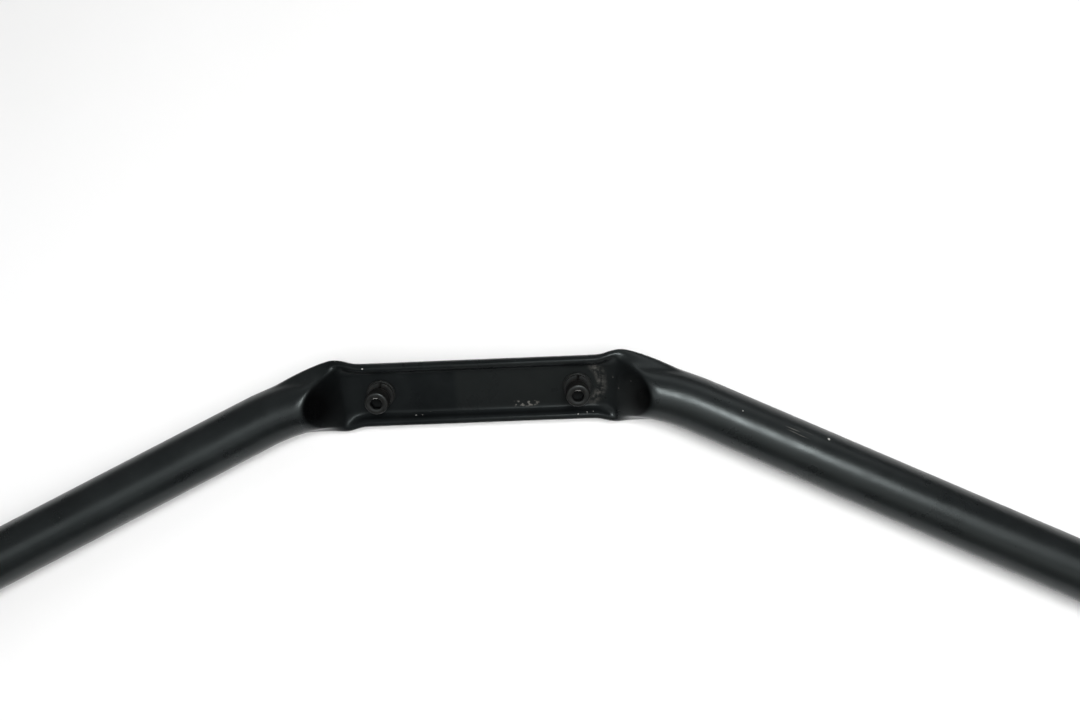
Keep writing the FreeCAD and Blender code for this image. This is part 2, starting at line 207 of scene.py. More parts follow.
def curled(u, o, curl):
    """Turns the oval's outer thirds up into the channel's two flanges."""
    if curl < 1e-6:
        return u, o
    bend = curl / CURL_RADIUS
    reach = np.abs(u)
    side = np.sign(u)
    curved = np.clip(reach, CHANNEL_FLOOR_HALF, OVAL_HALF_STRAIGHT) - CHANNEL_FLOOR_HALF
    beyond = np.maximum(reach - OVAL_HALF_STRAIGHT, 0.0)
    turn = curved * bend
    across = np.minimum(reach, CHANNEL_FLOOR_HALF) + np.sin(turn) / bend + beyond * np.cos(turn)
    rise = (1 - np.cos(turn)) / bend + beyond * np.sin(turn)
    return side * (across - o * np.sin(turn)), rise + o * np.cos(turn)


def path_point(distance):
    """The tube axis on the right half, and the level direction square to it."""
    if distance < BEND_STARTS_AT:
        return Vector((distance, 0, 0)), Vector((0, -1, 0))
    turn = min((distance - BEND_STARTS_AT) / BEND_RADIUS, BEND_ANGLE)
    x = BEND_STARTS_AT + BEND_RADIUS * math.sin(turn)
    y = -BEND_RADIUS * (1 - math.cos(turn))
    straight = max(distance - BEND_ENDS_AT, 0.0)
    return Vector((x, y, 0)) + ARM * straight, Vector((-math.sin(turn), -math.cos(turn), 0))


def ring_of_points(station, shares, skin):
    """The tube wall's outline at a station, in metres; stations are negative on the left."""
    distance = abs(station)
    centre, level = path_point(distance)
    if distance < ARM_MIDDLE:
        front = np.maximum(np.sin(2 * np.pi * shares), 0.0)
        flank = np.minimum(front / FLANK_SHARE, 1.0)
        flank = flank ** 2 * (3 - 2 * flank)
        round_at = ROUND_AT - FLANK_LAG * flank + CREST_LEAD * front ** 2
        press = 1 - blended_ramp((distance - FLAT_AT) / (round_at - FLAT_AT))
        curl = 1 - smooth_step(distance, CHANNEL_FULL_AT, CURL_STARTS_AT)
        u, o = pressed(shares, skin, press)
        a, b = curled(u, o, curl)
        b = b - OVAL_SETBACK * press - (CHANNEL_SETBACK - OVAL_SETBACK) * curl
        first = UP * math.cos(CHANNEL_LEAN) - level * math.sin(CHANNEL_LEAN)
        second = level * math.cos(CHANNEL_LEAN) + UP * math.sin(CHANNEL_LEAN)
    else:
        press = float(blended_ramp((distance - END_RAMP_AT) / END_RAMP_LENGTH))
        a, b = pressed(0.25 + CHANNEL_LEAN / (2 * math.pi) - shares, skin, press)
        b = b - END_DROP * smooth_step(distance, END_RAMP_AT, END_FLAT_AT)
        first, second = level, UP
    points = np.array(centre)[None, :] + np.outer(a, first) + np.outer(b, second)
    points[:, 0] *= math.copysign(1, station)
    return points * MM + np.array(AXIS_ORIGIN)[None, :]


# The CAD model's tube is a cubic spline surface, which rounds its points off by these weights
SPLINE_WEIGHTS = ((-1, 1 / 6), (0, 4 / 6), (1, 1 / 6))
SPLINE_STEP = 4.0
SPLINE_SHARE = 1 / 64


def softened_ring(station, shares, skin):
    """The tube wall's outline, rounded off along and around the tube."""
    ring = np.zeros((len(shares), 3))
    for along, length_weight in SPLINE_WEIGHTS:
        for around, round_weight in SPLINE_WEIGHTS:
            points = ring_of_points(station + along * SPLINE_STEP, shares + around * SPLINE_SHARE, skin)
            ring += length_weight * round_weight * points
    return ring


# ---- mesh helpers ----
def new_object(name, verts, faces, smooth=True):
    mesh = bpy.data.meshes.new(name)
    mesh.from_pydata([tuple(v) for v in verts], [], faces)
    mesh.validate()
    if smooth:
        mesh.polygons.foreach_set("use_smooth", [True] * len(mesh.polygons))
    obj = bpy.data.objects.new(name, mesh)
    bpy.context.scene.collection.objects.link(obj)
    return obj


def skin_object(name, rings):
    """A closed tube-like mesh through rings of points, with its two ends filled."""
    count = len(rings[0])
    verts = np.concatenate(rings)
    faces = []
    for r in range(len(rings) - 1):
        low, high = r * count, (r + 1) * count
        for i in range(count):
            j = (i + 1) % count
            faces.append((low + i, high + i, high + j, low + j))
    faces.append(tuple(range(count)))
    faces.append(tuple(range(len(verts) - 1, len(verts) - 1 - count, -1)))
    obj = new_object(name, verts, faces)
    outward(obj)
    return obj


def outward(obj):
    """Makes every face look outwards."""
    work = bmesh.new()
    work.from_mesh(obj.data)
    bmesh.ops.recalc_face_normals(work, faces=work.faces)
    work.to_mesh(obj.data)
    work.free()


def apply_modifiers(obj):
    """Bakes an object's modifiers into its mesh."""
    bpy.context.view_layer.update()
    graph = bpy.context.evaluated_depsgraph_get()
    mesh = bpy.data.meshes.new_from_object(obj.evaluated_get(graph))
    obj.modifiers.clear()
    obj.data = mesh


def cut_away(obj, cutter):
    """Cuts one mesh out of another and deletes the cutter."""
    modifier = obj.modifiers.new("cut", "BOOLEAN")
    modifier.operation = "DIFFERENCE"
    modifier.solver = "EXACT"
    modifier.object = cutter
    apply_modifiers(obj)
    bpy.data.objects.remove(cutter)


def smooth_by_angle(obj, degrees):
    """Smooth shading that keeps edges sharper than the angle."""
    obj.data.polygons.foreach_set("use_smooth", [True] * len(obj.data.polygons))
    obj.data.set_sharp_from_angle(angle=math.radians(degrees))


def turned(name, profile, steps, smooth_angle=35):
    """A solid of revolution about +Z from (radius, height) points, in millimetres."""
    verts = []
    for i in range(steps):
        turn = 2 * math.pi * i / steps
        for radius, height in profile:
            verts.append((radius * math.cos(turn) * MM, radius * math.sin(turn) * MM, height * MM))
    count = len(profile)
    faces = []
    for i in range(steps):
        nxt = (i + 1) % steps
        for k in range(count):
            m = (k + 1) % count
            faces.append((i * count + k, nxt * count + k, nxt * count + m, i * count + m))
    obj = new_object(name, verts, faces)
    bmesh_clean(obj)
    smooth_by_angle(obj, smooth_angle)
    return obj


def bmesh_clean(obj):
    """Merges doubled points and makes the faces look outwards."""
    work = bmesh.new()
    work.from_mesh(obj.data)
    bmesh.ops.remove_doubles(work, verts=work.verts, dist=1e-7)
    bmesh.ops.dissolve_degenerate(work, edges=work.edges, dist=1e-8)
    bmesh.ops.recalc_face_normals(work, faces=work.faces)
    work.to_mesh(obj.data)
    work.free()


def cylinder(radius, depth, centre, axis, steps=48):
    """A plain cylinder, used only to cut with. Sizes in millimetres, centre in metres."""
    bpy.ops.mesh.primitive_cylinder_add(vertices=steps, radius=radius * MM, depth=depth * MM)
    obj = bpy.context.object
    obj.matrix_world = Matrix.Translation(centre) @ axis.to_track_quat("Z", "Y").to_matrix().to_4x4()
    bpy.context.view_layer.update()
    return obj


def screw_frame(side, level):
    """The matrix that stands a piece built on +Z on a bulkhead screw's axis."""
    place = AXIS_ORIGIN + Vector((side * SCREW_SPACING / 2 * MM, 0, 0)) + OUT * (level * MM)
    return Matrix.Translation(place) @ Matrix.Rotation(math.pi / 2 - CHANNEL_LEAN, 4, "X")


def place(obj, matrix):
    """Moves an object's mesh, so the object itself stays at the origin."""
    obj.data.transform(matrix)
    obj.data.update()


# ---- materials ----
class Nodes:
    """A short way to write a node material."""

    def __init__(self, name):
        self.material = bpy.data.materials.new(name)
        self.material.use_nodes = True
        self.tree = self.material.node_tree
        self.tree.nodes.clear()
        self.coords = self.add("ShaderNodeTexCoord").outputs["Object"]

    def add(self, kind, **values):
        node = self.tree.nodes.new(kind)
        for key, value in values.items():
            setattr(node, key, value)
        return node

    def link(self, source, socket):
        self.tree.links.new(source, socket)

    def noise(self, scale, detail=4.0, rough=0.55, stretch=(1, 1, 1), offset=(0, 0, 0), turn=0.0):
        mapping = self.add("ShaderNodeMapping")
        if turn:
            rotated = self.add("ShaderNodeMapping", vector_type="TEXTURE")
            rotated.inputs["Rotation"].default_value = (0, 0, turn)
            self.link(self.coords, rotated.inputs["Vector"])
            self.link(rotated.outputs["Vector"], mapping.inputs["Vector"])
        else:
            self.link(self.coords, mapping.inputs["Vector"])
        mapping.inputs["Scale"].default_value = stretch
        mapping.inputs["Location"].default_value = offset
        node = self.add("ShaderNodeTexNoise")
        node.inputs["Scale"].default_value = scale
        node.inputs["Detail"].default_value = detail
        node.inputs["Roughness"].default_value = rough
        self.link(mapping.outputs["Vector"], node.inputs["Vector"])
        return node.outputs["Fac"]

    def ramp(self, source, low, high, low_value=0.0, high_value=1.0):
        node = self.add("ShaderNodeMapRange", clamp=True)
        node.inputs["From Min"].default_value = low
        node.inputs["From Max"].default_value = high
        node.inputs["To Min"].default_value = low_value
        node.inputs["To Max"].default_value = high_value
        self.link(source, node.inputs["Value"])
        return node.outputs["Result"]

    def math(self, operation, a, b):
        node = self.add("ShaderNodeMath", operation=operation)
        for socket, value in zip(node.inputs, (a, b)):
            if isinstance(value, (int, float)):
                socket.default_value = value
            else:
                self.link(value, socket)
        return node.outputs["Value"]

    def mix(self, factor, a, b):
        node = self.add("ShaderNodeMix", data_type="RGBA")
        if isinstance(factor, (int, float)):
            node.inputs["Factor"].default_value = factor
        else:
            self.link(factor, node.inputs["Factor"])
        for socket, value in ((node.inputs["A"], a), (node.inputs["B"], b)):
            if isinstance(value, tuple):
                socket.default_value = (*value, 1.0)
            else:
                self.link(value, socket)
        return node.outputs["Result"]

    def bump(self, height, strength, distance, normal=None):
        node = self.add("ShaderNodeBump")
        node.inputs["Strength"].default_value = strength
        node.inputs["Distance"].default_value = distance
        self.link(height, node.inputs["Height"])
        if normal is not None:
            self.link(normal, node.inputs["Normal"])
        return node.outputs["Normal"]

    def edge_wear(self, low, high):
        """A mask on convex edges, broken up by noise."""
        point = self.add("ShaderNodeNewGeometry").outputs["Pointiness"]
        return self.math("MULTIPLY", self.ramp(point, low, high), self.ramp(self.noise(700), 0.5, 0.62))

    def reach(self, centre, stretch=(1, 1, 1), turn=0.0):
        """Distance in millimetres from a point given from the middle of the tube's axis.

        stretch shortens the distance along the point's own axes, which are turned about +Z."""
        offset = self.add("ShaderNodeVectorMath", operation="SUBTRACT")
        self.link(self.coords, offset.inputs[0])
        offset.inputs[1].default_value = AXIS_ORIGIN + Vector(centre) * MM
        mapping = self.add("ShaderNodeMapping", vector_type="TEXTURE")
        mapping.inputs["Rotation"].default_value = (0, 0, turn)
        mapping.inputs["Scale"].default_value = tuple(value * MM for value in stretch)
        self.link(offset.outputs["Vector"], mapping.inputs["Vector"])
        length = self.add("ShaderNodeVectorMath", operation="LENGTH")
        self.link(mapping.outputs["Vector"], length.inputs[0])
        return length.outputs["Value"]

    def spot(self, centre, radius, stretch=(1, 1, 1), turn=0.0, soft=0.5):
        """A round mask about a point, 1 in its middle, with a soft edge."""
        return self.ramp(self.reach(centre, stretch, turn), radius, radius * (1 - soft))

    def facing(self, direction, low, high):
        """A mask on the surfaces that face a direction."""
        dot = self.add("ShaderNodeVectorMath", operation="DOT_PRODUCT")
        self.link(self.add("ShaderNodeNewGeometry").outputs["Normal"], dot.inputs[0])
        dot.inputs[1].default_value = direction
        return self.ramp(dot.outputs["Value"], low, high)

    def along_x(self, low, high):
        """A mask that rises along +X, in millimetres from the middle."""
        split = self.add("ShaderNodeSeparateXYZ")
        self.link(self.coords, split.inputs["Vector"])
        return self.ramp(split.outputs["X"], low * MM, high * MM)

    def finish(self, colour, roughness, normal, specular=0.5):
        """Puts a colour, roughness and normal on the shader and returns the material."""
        shader = self.add("ShaderNodeBsdfPrincipled")
        if isinstance(specular, (int, float)):
            shader.inputs["Specular IOR Level"].default_value = specular
        else:
            self.link(specular, shader.inputs["Specular IOR Level"])
        shader.inputs["Specular Tint"].default_value = SHEEN_TINT
        self.link(colour, shader.inputs["Base Color"])
        self.link(roughness, shader.inputs["Roughness"])
        self.link(normal, shader.inputs["Normal"])
        self.link(shader.outputs["BSDF"], self.add("ShaderNodeOutputMaterial").inputs["Surface"])
        return self.material


SHEEN_TINT = (0.90, 1.0, 1.0, 1.0)
PAINT = (0.0042, 0.0051, 0.0054)
PAINT_WORN = (0.0085, 0.0098, 0.0102)
PAINT_LIGHTER_PATCH = (0.0094, 0.0106, 0.0104)
PAINT_SHADED = (0.0008, 0.0008, 0.0009)
DUST = (0.13, 0.125, 0.115)
# The light colour of bare steel in paint chips, also used for the painted highlights in the screw
# sockets
CHIP_AND_HIGHLIGHT = (0.62, 0.61, 0.58)
OXIDE = (0.0040, 0.0038, 0.0036)
OXIDE_WORN = (0.0090, 0.0084, 0.0076)
SPECULAR = 0.28

# Marks on the tube, in millimetres from the middle of its axis: (x, y, z) and a radius
CHIPS = [
    ((-62.6, 14.4, 9.3), 0.55), ((-36.5, -8.3, -11.6), 0.5), ((-33.0, -8.4, -11.5), 0.4),
    ((55.0, -11.6, -9.6), 0.45), ((60.0, -10.7, -9.7), 0.5), ((63.5, -10.2, -9.9), 0.4),
    ((184.5, -34.3, 12.8), 0.8), ((141.0, -18.0, 14.7), 0.4),
]
FAINT_CHIPS = [((75.0, 6.6, -0.2), 0.6), ((84.0, 2.2, 7.2), 0.5), ((78.0, 0.6, -1.9), 0.7)]
SCRATCHED = (170.0, -30.8, 14.5)
FLECKED = (25.0, -4.0, -10.8)
SCUFFED = (55.0, 4.5, -3.5)
# Spots of painted shade in the hollows at the bends: (x, y, z), a radius and the direction that the
# darkened slopes face
SHADED = [((-88.0, -6.0, 8.0), 30.0, (1, 0, 0)), ((91.0, -8.0, 9.0), 25.0, (-1, 0, 0))]


def worn_paint(n):
    """The paint's own colour, with dust and specks on it, and its roughness."""
    mottle = n.ramp(n.noise(38, 5), 0.35, 0.7)
    colour = n.mix(mottle, PAINT, PAINT_WORN)
    dust = n.math("MULTIPLY", n.ramp(n.noise(14, 6, 0.7), 0.52, 0.8), n.ramp(n.noise(420, 3), 0.5, 0.75))
    colour = n.mix(n.math("MULTIPLY", dust, 0.05), colour, DUST)
    specks = n.ramp(n.noise(900, 2, 0.5), 0.76, 0.79)
    colour = n.mix(n.math("MULTIPLY", specks, 0.25), colour, DUST)
    rough = n.ramp(n.noise(60, 5, 0.6), 0.3, 0.7, 0.25, 0.37)
    return colour, rough


def paint_surface(n, normal=None):
    """Orange peel and slow waves in the paint."""
    peel = n.bump(n.noise(900, 3, 0.5), 0.10, 0.0002, normal)
    waves = n.bump(n.noise(110, 2, 0.4), 0.10, 0.0006, peel)
    return n.bump(n.noise(38, 3, 0.5), 0.16, 0.0016, waves)


def black_paint(name):
    """Satin black paint on steel: orange peel, faint mottling, dust, specks and worn edges."""
    n = Nodes(name)
    colour, rough = worn_paint(n)
    colour = n.mix(n.edge_wear(0.62, 0.72), colour, DUST)
    return n.finish(colour, rough, paint_surface(n), specular=SPECULAR)


def tube_paint_material(name):
    """The tube's paint, with its chips, scratches, scuff, flecks, a lighter patch on its channel floor
    and painted shade in the hollows at the bends.
    """
    n = Nodes(name)
    colour, rough = worn_paint(n)
    # The channel floor is drawn lighter from about 12 mm left of the middle rightwards, broken up by
    # noise
    floor = n.facing(OUT, 0.90, 0.985)
    floor_patch = n.math("MULTIPLY", floor, n.along_x(-14.5, -11.5))
    floor_patch = n.math("MULTIPLY", floor_patch, n.ramp(n.noise(60, 4), 0.2, 0.7, 0.6, 0.95))
    colour = n.mix(floor_patch, colour, PAINT_LIGHTER_PATCH)
    middle = n.spot((-6.0, 0, 0), 1.0, (90.0, 1000.0, 1000.0), soft=0.18)
    specular = n.math("MULTIPLY", SPECULAR, n.math("SUBTRACT", 1.0, n.math("MULTIPLY", middle, 0.72)))
    # Painted shade: the hollows at the bends are painted darker, with less reflection, on the slopes
    # that face these directions
    for centre, radius, slope in SHADED:
        shade = n.math("MULTIPLY", n.spot(centre, radius, soft=0.8), n.facing(slope, 0.25, 0.6))
        colour = n.mix(shade, colour, PAINT_SHADED)
        specular = n.math("MULTIPLY", specular, n.math("SUBTRACT", 1.0, n.math("MULTIPLY", shade, 0.85)))
    ring = n.reach(SCUFFED, (1, 1, 1))
    scuff = n.math("MULTIPLY", n.ramp(ring, 10.0, 12.0), n.ramp(ring, 17.5, 14.0))
    scuff = n.math("MULTIPLY", scuff, n.along_x(60.0, 64.0))
    scuff = n.math("MULTIPLY", scuff, n.ramp(n.noise(330, 5, 0.7), 0.42, 0.68))
    scuff = n.math("MULTIPLY", scuff, n.facing(OUT, 0.85, 0.95))
    colour = n.mix(n.math("MULTIPLY", scuff, 0.55), colour, DUST)
    flecks = n.spot(FLECKED, 1.0, (10.0, 2.2, 2.2), soft=0.4)
    flecks = n.math("MULTIPLY", flecks, n.ramp(n.noise(520, 2, 0.4, offset=(0.3, 0, 0)), 0.58, 0.64))
    colour = n.mix(n.math("MULTIPLY", flecks, 0.8), colour, DUST)
    lines = n.noise(60, 3, 0.5, stretch=(0.5, 14, 14), turn=-BEND_ANGLE)
    streaks = n.spot(SCRATCHED, 1.0, (9.0, 3.0, 3.0), -BEND_ANGLE)
    streaks = n.math("MULTIPLY", streaks, n.ramp(lines, 0.56, 0.62))
    colour = n.mix(n.math("MULTIPLY", streaks, 0.65), colour, DUST)
    chips = None
    ragged = n.ramp(n.noise(1400, 3, 0.6), 0.35, 0.55)
    for centre, radius in CHIPS:
        chip = n.spot(centre, radius * 1.15)
        chips = chip if chips is None else n.math("MAXIMUM", chips, chip)
    chips = n.ramp(n.math("MULTIPLY", chips, ragged), 0.25, 0.5)
    colour = n.mix(n.math("MULTIPLY", chips, 0.6), colour, CHIP_AND_HIGHLIGHT)
    for centre, radius in FAINT_CHIPS:
        colour = n.mix(n.math("MULTIPLY", n.spot(centre, radius), 0.35), colour, DUST)
    colour = n.mix(n.math("MULTIPLY", n.edge_wear(0.64, 0.74), 0.5), colour, DUST)
    marks = n.math("MAXIMUM", chips, n.math("MAXIMUM", streaks, scuff))
    rough = n.math("ADD", rough, n.math("MULTIPLY", marks, 0.2))
    dents = n.bump(n.math("SUBTRACT", 1.0, chips), 0.4, 0.0001)
    return n.finish(colour, rough, paint_surface(n, dents), specular=specular)


def dark_steel(name, base, light, rough_low, rough_high, sockets=False):
    """Blackened steel with faint brown mottling, bright edges and, for screws, painted shade inside the
    sockets and a painted highlight on each socket's upper lip.
    """
    n = Nodes(name)
    mottle = n.ramp(n.noise(300, 5, 0.65), 0.3, 0.7)
    colour = n.mix(mottle, base, light)
    rusty = n.math("MULTIPLY", n.ramp(n.noise(160, 4, 0.7), 0.58, 0.7), 0.3)
    colour = n.mix(rusty, colour, (0.030, 0.024, 0.018))
    colour = n.mix(n.math("MULTIPLY", n.edge_wear(0.56, 0.66), 0.6), colour, (0.10, 0.096, 0.088))
    rough = n.ramp(n.noise(500, 4), 0.3, 0.7, rough_low, rough_high)
    specular = SPECULAR
    if sockets:
        for side in (-1, 1):
            middle = Vector((side * SCREW_SPACING / 2, 0, 0)) + OUT * (HEAD_SEAT + HEAD_HEIGHT - 2.6)
            # Painted shade: the inside of each socket is painted near black and given less reflection
            socket_shade = n.spot(middle, 4.3, soft=0.2)
            colour = n.mix(socket_shade, colour, (0.001, 0.001, 0.001))
            # Painted highlight: a light spot on the upper lip of each socket, on the faces turned down
            # the slope
            lip = middle + OUT * 2.1 + UP_SLOPE * 3.0
            lip_highlight = n.math("MULTIPLY", n.spot(lip, 1.0, (2.4, 0.9, 0.9)), n.facing(-UP_SLOPE, 0.3, 0.6))
            colour = n.mix(n.math("MULTIPLY", lip_highlight, 0.8), colour, CHIP_AND_HIGHLIGHT)
            shine = n.math("SUBTRACT", 1.0, n.math("MULTIPLY", socket_shade, 0.6))
            specular = n.math("MULTIPLY", specular, shine)
    normal = n.bump(n.noise(1500, 3), 0.15, 0.0001)
    return n.finish(colour, rough, normal, specular=specular)


def black_nylon(name):
    n = Nodes(name)
    colour = n.mix(n.ramp(n.noise(200, 4), 0.3, 0.7), (0.012, 0.012, 0.012), (0.02, 0.02, 0.021))
    rough = n.ramp(n.noise(400, 3), 0.3, 0.7, 0.5, 0.62)
    return n.finish(colour, rough, n.bump(n.noise(1200, 3), 0.1, 0.0001))


def floor_material():
    n = Nodes("pale_floor")
    colour = n.mix(n.ramp(n.noise(3, 3), 0.3, 0.7), (0.86, 0.855, 0.85), (0.89, 0.885, 0.885))
    rough = n.ramp(n.noise(40, 3), 0.3, 0.7, 0.6, 0.68)
    return n.finish(colour, rough, n.bump(n.noise(300, 2), 0.03, 0.0002))


def give(obj, material, body, node):
    """Finishes a piece: its material, its body and the CAD node it stands for."""
    obj.data.materials.clear()
    obj.data.materials.append(material)
    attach(obj, body)
    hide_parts(node)


# ---- the tube ----
AROUND = 176


def even(start, end, step):
    count = max(1, math.ceil((end - start) / step))
    return [start + (end - start) * i / count for i in range(count)]


def tube_stations():
    half = even(0, CHANNEL_FULL_AT, 5.0)
    half += even(CHANNEL_FULL_AT, ROUND_AT, 0.7)
    half += even(ROUND_AT, END_RAMP_AT, 8.0)
    half += even(END_RAMP_AT, END_AT - END_CORNER_RADIUS, 2.0)
    half += [END_AT - END_CORNER_RADIUS]
    half += [END_AT - END_CORNER_RADIUS * (1 - math.sin(math.pi / 2 * i / 12)) for i in range(1, 12)]
    half += [END_AT]
    return [-s for s in reversed(half[1:])] + half


def rounded_end(points, station):
    """Draws a flattened end's outline in, so its corners are round in plan."""
    inside = abs(station) - (END_AT - END_CORNER_RADIUS)
    if inside <= 0:
        return points
    drawn = END_CORNER_RADIUS - math.sqrt(max(END_CORNER_RADIUS ** 2 - inside ** 2, 0.0))
    centre, level = path_point(abs(station))
    side = math.copysign(1, station)
    middle = np.array([side * centre.x, centre.y, centre.z]) * MM + np.array(AXIS_ORIGIN)
    sideways = np.array([side * level.x, level.y, 0.0])
    reach = (points - middle) @ sideways
    scale = (OVAL_HALF_WIDTH - drawn) / OVAL_HALF_WIDTH
    return points + np.outer(reach * (scale - 1), sideways)


def drain_cutter(side):
    """A blind cup that leaves a dark drain hole in the underside of an arm."""
    centre, _ = path_point(END_AT - DRAIN_FROM_END)
    middle = AXIS_ORIGIN + Vector((side * centre.x, centre.y, centre.z - TUBE_RADIUS)) * MM
    return cylinder(DRAIN_RADIUS, 2 * WALL, middle, UP)


def make_tube():
    shares = np.arange(AROUND) / AROUND
    rings = [rounded_end(softened_ring(s, shares, WALL), s) for s in tube_stations()]
    tube = skin_object("brace_tube_skin", rings)
    for side in (-1, 1):
        beside = AXIS_ORIGIN + Vector((side * SCREW_SPACING / 2 * MM, 0, 0))
        middle = beside - OUT * (CHANNEL_SETBACK * MM)
        cut_away(tube, cylinder(SCREW_HOLE_RADIUS, 4 * WALL, middle, OUT))
        cut_away(tube, drain_cutter(side))
    smooth_by_angle(tube, 40)
    return tube


# ---- the tower plates ----
PLATE_COLUMNS = 600
STUD_TURNS = [math.pi + 2 * math.pi * i / STUD_COUNT for i in range(STUD_COUNT)]
STUD_CENTRES = [(STUD_CIRCLE_RADIUS * math.cos(t), STUD_CIRCLE_RADIUS * math.sin(t)) for t in STUD_TURNS]


def plate_corners():
    """The convex polygon that the plate's rounded outline follows, on the plate's own axes."""
    near_x = STUD_CIRCLE_RADIUS * math.cos(math.pi / STUD_COUNT)
    near_y = STUD_CIRCLE_RADIUS * math.sin(math.pi / STUD_COUNT)
    tongue_x = TONGUE_LENGTH - STUD_MARGIN
    tongue_y = TONGUE_HALF_WIDTH - STUD_MARGIN
    return [
        np.array(corner)
        for corner in (
            (-STUD_CIRCLE_RADIUS, 0.0), (near_x, -near_y), (tongue_x, -tongue_y),
            (tongue_x, tongue_y), (near_x, near_y),
        )
    ]


def outside_by(points):
    """How far points lie outside the plate's polygon; negative inside."""
    corners = plate_corners()
    nearest = np.full(len(points), np.inf)
    inside = np.ones(len(points), dtype=bool)
    for i, start in enumerate(corners):
        run = corners[(i + 1) % len(corners)] - start
        offset = points - start
        along = np.clip(offset @ run / (run @ run), 0.0, 1.0)
        nearest = np.minimum(nearest, np.linalg.norm(offset - np.outer(along, run), axis=1))
        inside &= run[0] * offset[:, 1] - run[1] * offset[:, 0] > 0
    return np.where(inside, -nearest, nearest)


def outline_loop(margin, turns):
    """The plate's outline at a margin outside its polygon, one point for each direction."""
    rays = np.stack([np.cos(turns), np.sin(turns)], axis=1)
    low = np.zeros(len(turns))
    high = np.full(len(turns), 2 * TONGUE_LENGTH)
    for _ in range(40):
        middle = (low + high) / 2
        beyond = outside_by(rays * middle[:, None]) > margin
        high = np.where(beyond, middle, high)
        low = np.where(beyond, low, middle)
    return rays * low[:, None]


def mouth_share(points):
    """1 where the rim is open for the tube, 0 along the rest of it."""
    reach = np.abs(points[:, 1])
    half = TONGUE_HALF_WIDTH - RIM_THICKNESS
    side = np.clip((half + 1.2 - reach) / 2.4, 0, 1)
    front = np.clip((points[:, 0] - (TONGUE_LENGTH - INNER_CORNER_RADIUS - 1.2)) / 2.4, 0, 1)
    share = np.minimum(side, front)
    return share * share * (3 - 2 * share)


def pad_rise(points):
    """The raised pads about the stud holes."""
    rise = np.zeros(len(points))
    for centre in STUD_CENTRES:
        reach = np.linalg.norm(points - np.array(centre), axis=1)
        share = np.clip((PAD_RADIUS - reach) / 1.4, 0, 1)
        rise = np.maximum(rise, PAD_HEIGHT * share * share * (3 - 2 * share))
    return rise


def arc_steps(count):
    return [math.pi / 2 * i / count for i in range(count + 1)]


def corner(middle, radius, across, up, count, upwards_first=False):
    """A quarter round about a (margin, height) middle, towards across and up, which are 1 or -1."""
    points = []
    for t in arc_steps(count):
        flat, steep = (math.sin(t), math.cos(t)) if upwards_first else (math.cos(t), math.sin(t))
        points.append((middle[0] + across * radius * flat, middle[1] + up * radius * steep))
    return points


def rim_section():
    """(margin, height) along the rim: up its outside, over its top, down its inside, onto the plate."""
    edge, lip, foot = 1.0, 1.5, 2.6
    outer, inner = STUD_MARGIN, STUD_MARGIN - RIM_THICKNESS
    section = corner((outer - edge, edge), edge, 1, -1, 5, upwards_first=True)
    section += corner((outer - lip, RIM_HEIGHT - lip), lip, 1, 1, 6)
    section += corner((inner + lip, RIM_HEIGHT - lip), lip, -1, 1, 6, upwards_first=True)
    section += corner((inner - foot, PLATE_THICKNESS + foot), foot, 1, -1, 6)
    return section


def collar_section():
    """(radius, height) over the collar: from the plate up its outside and down into the opening."""
    edge, lip, foot = 0.8, 1.4, 2.2
    outer, inner = OPENING_RADIUS + COLLAR_THICKNESS, OPENING_RADIUS
    section = corner((outer + foot, PLATE_THICKNESS + foot), foot, -1, -1, 6, upwards_first=True)
    section += corner((outer - lip, COLLAR_HEIGHT - lip), lip, 1, 1, 6)
    section += corner((inner + lip, COLLAR_HEIGHT - lip), lip, -1, 1, 6, upwards_first=True)
    section += corner((inner + edge, edge), edge, -1, -1, 4)
    return section


def plate_frame(side):
    """The matrix from the plate's own axes to its tower."""
    base = AXIS_ORIGIN + Vector((side, 1, 1)) * Vector((CORNER_X, 0, -AXIS_HEIGHT)) * MM
    arm = Vector((side * ARM.x, ARM.y, 0))
    base = base + arm * (CORNER_TO_TOWER * MM)
    across = UP.cross(-arm) * side
    matrix = Matrix((-arm, across, UP)).transposed().to_4x4()
    return Matrix.Translation(base) @ matrix


def make_plate(name, side):
    """A stamped plate: rolled rim, drawn collar, raised pads, with soft radii everywhere."""
    turns = 2 * np.pi * np.arange(PLATE_COLUMNS) / PLATE_COLUMNS
    loops = []
    for margin, height in rim_section():
        flat = outline_loop(margin, turns)
        raised = np.full(PLATE_COLUMNS, height)
        lowered = np.minimum(raised, PLATE_THICKNESS)
        open_share = mouth_share(flat)
        loops.append((flat, raised + (lowered - raised) * open_share))
    start = loops[-1][0]
    collar = collar_section()
    rays = np.stack([np.cos(turns), np.sin(turns)], axis=1)
    finish = rays * collar[0][0]
    fill = 36
    for i in range(1, fill):
        flat = start + (finish - start) * (i / fill)
        loops.append((flat, PLATE_THICKNESS + pad_rise(flat)))
    for radius, height in collar:
        loops.append((rays * radius, np.full(PLATE_COLUMNS, height)))
    verts = np.concatenate([np.column_stack([flat, height]) for flat, height in loops]) * MM
    rows = len(loops)
    faces = []
    for r in range(rows):
        low, high = r * PLATE_COLUMNS, ((r + 1) % rows) * PLATE_COLUMNS
        for i in range(PLATE_COLUMNS):
            j = (i + 1) % PLATE_COLUMNS
            faces.append((low + i, low + j, high + j, high + i))
    plate = new_object(name, verts, faces)
    bmesh_clean(plate)
    for x, y in STUD_CENTRES:
        cutter = turned("stud_cutter", stud_cutter_profile(), 64)
        place(cutter, Matrix.Translation(Vector((x, y, 0)) * MM))
        cut_away(plate, cutter)
    smooth_by_angle(plate, 38)
    place(plate, plate_frame(side))
    outward(plate)
    return plate


